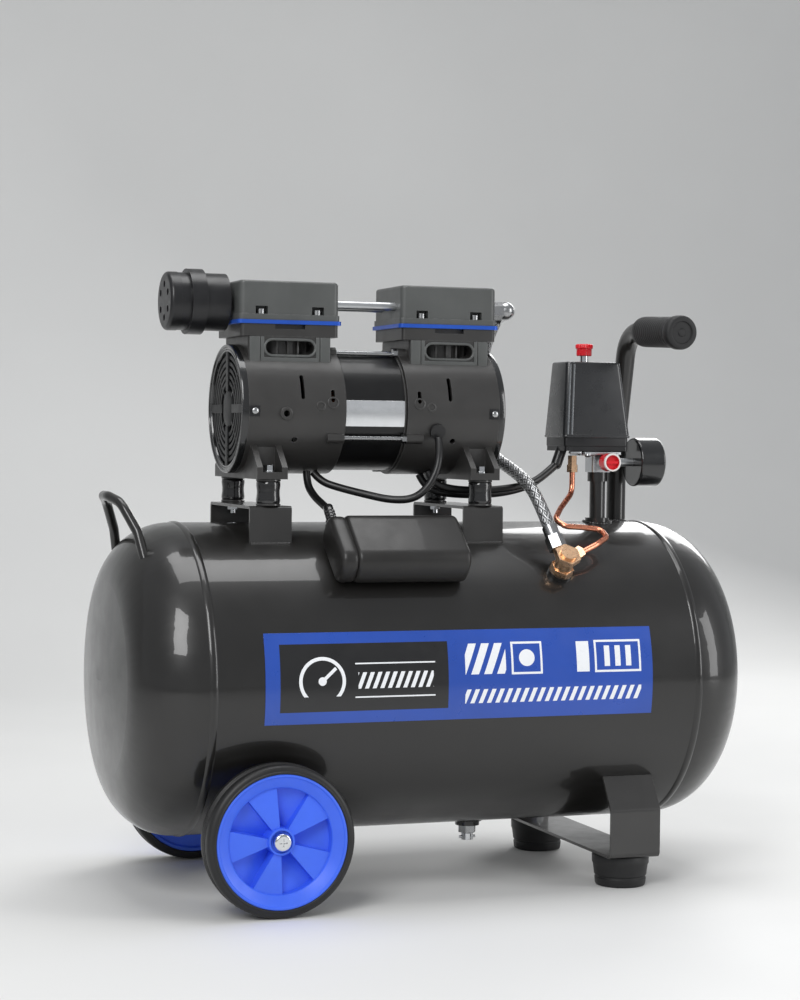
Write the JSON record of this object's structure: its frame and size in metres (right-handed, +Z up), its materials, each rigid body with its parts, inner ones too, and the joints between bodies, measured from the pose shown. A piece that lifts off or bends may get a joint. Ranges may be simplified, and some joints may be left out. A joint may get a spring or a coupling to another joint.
{
  "type": "air compressor",
  "caption": "Portable oil-free air compressor: horizontal tank on wheels and rubber feet, twin-cylinder pump on top, pressure switch, gauge and lifting handle.",
  "frame": {"origin": "on the floor, under the middle of the tank", "axes": "+X along the tank to the pressure switch, -Y the front with the label, +Z up"},
  "size_m": [0.676, 0.3648, 0.6365],
  "materials": {
    "tank_paint": "gloss powder coat",
    "bracket_paint": "gloss powder coat",
    "cast_grey": "satin painted casting",
    "stator_black": "gloss lacquered laminations",
    "blue_plate": "satin",
    "bare_aluminium": "machined",
    "steel": "zinc plated",
    "chrome": "bright",
    "brass": "machined",
    "copper": "drawn copper tube",
    "wheel_blue": "moulded",
    "tyre_rubber": "solid rubber",
    "rubber": "matte",
    "black_plastic": "moulded, fine grain",
    "grey_plastic": "moulded",
    "red_plastic": "moulded",
    "cable_black": "PVC sheath",
    "steel_braid": "braided wire",
    "dial_white": "printed",
    "lens": "clear",
    "winding_copper": "enamelled wire"
  },
  "bodies": {
    "tank": {"tank_shell": "tank_paint", "left_tank_head": "tank_paint", "right_tank_head": "tank_paint", "tank_bosses": "tank_paint", "riser_pipe": "tank_paint", "carry_handle": "tank_paint", "pull_handle": "tank_paint", "handle_grip": "rubber", "wheel_bracket": "bracket_paint", "chassis_bolts": "chrome", "foot_bracket": "bracket_paint", "rubber_feet": "rubber", "drain_body": "steel", "check_valve": "brass", "unloader_tube": "copper", "unloader_valve": "brass", "pump_brackets": "bracket_paint", "rubber_mounts": "rubber", "mount_bolts": "chrome", "left_crankcase": "cast_grey", "right_crankcase": "cast_grey", "stator_core": "stator_black", "stator_windings": "winding_copper", "shaft_bearings": "steel", "fan_covers": "grey_plastic", "cylinders": "cast_grey", "valve_plates": "blue_plate", "left_head_cover": "cast_grey", "right_head_cover": "cast_grey", "cap_screws": "steel", "tie_bolts": "steel", "transfer_tubes": "bare_aluminium", "intake_filter": "black_plastic", "filter_cap": "black_plastic", "discharge_hose": "steel_braid", "hose_fittings": "steel", "switch_base": "black_plastic", "switch_cover": "black_plastic", "manifold": "bare_aluminium", "gauge_case": "black_plastic", "gauge_dial": "dial_white", "gauge_lens": "lens", "capacitor_box": "grey_plastic", "capacitor": "grey_plastic", "motor_leads": "cable_black", "switch_leads": "cable_black", "cable_gland": "rubber"},
    "rotor": {"motor_shaft": "steel", "rotor_core": "steel", "eccentrics": "bare_aluminium", "cooling_fans": "black_plastic"},
    "left_piston": {"left_piston": "bare_aluminium"},
    "right_piston": {"right_piston": "bare_aluminium"},
    "front_wheel": {"front_rim": "wheel_blue", "front_tyre": "tyre_rubber"},
    "rear_wheel": {"rear_rim": "wheel_blue", "rear_tyre": "tyre_rubber"},
    "stop_knob": {"switch_knob": "red_plastic"},
    "outlet_knob": {"outlet_knob": "red_plastic"},
    "drain_screw": {"drain_screw": "chrome"}
  },
  "joints": [
    {"name": "motor_spin", "type": "hinge", "parent": "tank", "child": "rotor", "pos_m": [-0.065, 0, 0.494], "axis": [1, 0, 0], "continuous": true},
    {"name": "left_piston_slide", "type": "slide", "parent": "tank", "child": "left_piston", "axis": [0, 0, 1], "range_m": [-0.0075, 0.0075]},
    {"name": "right_piston_slide", "type": "slide", "parent": "tank", "child": "right_piston", "axis": [0, 0, 1], "range_m": [-0.0075, 0.0075]},
    {"name": "front_wheel_spin", "type": "hinge", "parent": "tank", "child": "front_wheel", "pos_m": [-0.196, -0.164, 0.075], "axis": [0, 1, 0], "continuous": true},
    {"name": "rear_wheel_spin", "type": "hinge", "parent": "tank", "child": "rear_wheel", "pos_m": [-0.196, 0.164, 0.075], "axis": [0, 1, 0], "continuous": true},
    {"name": "stop_knob_press", "type": "slide", "parent": "tank", "child": "stop_knob", "axis": [0, 0, 1], "range_m": [-0.005, 0]},
    {"name": "outlet_knob_turn", "type": "hinge", "parent": "tank", "child": "outlet_knob", "pos_m": [0.209, -0.04, 0.442], "axis": [0, -1, 0], "range_deg": [0, 90]},
    {"name": "drain_screw_turn", "type": "hinge", "parent": "tank", "child": "drain_screw", "pos_m": [0.066, 0, 0.045], "axis": [0, 0, 1], "range_deg": [0, 330]}
  ]
}
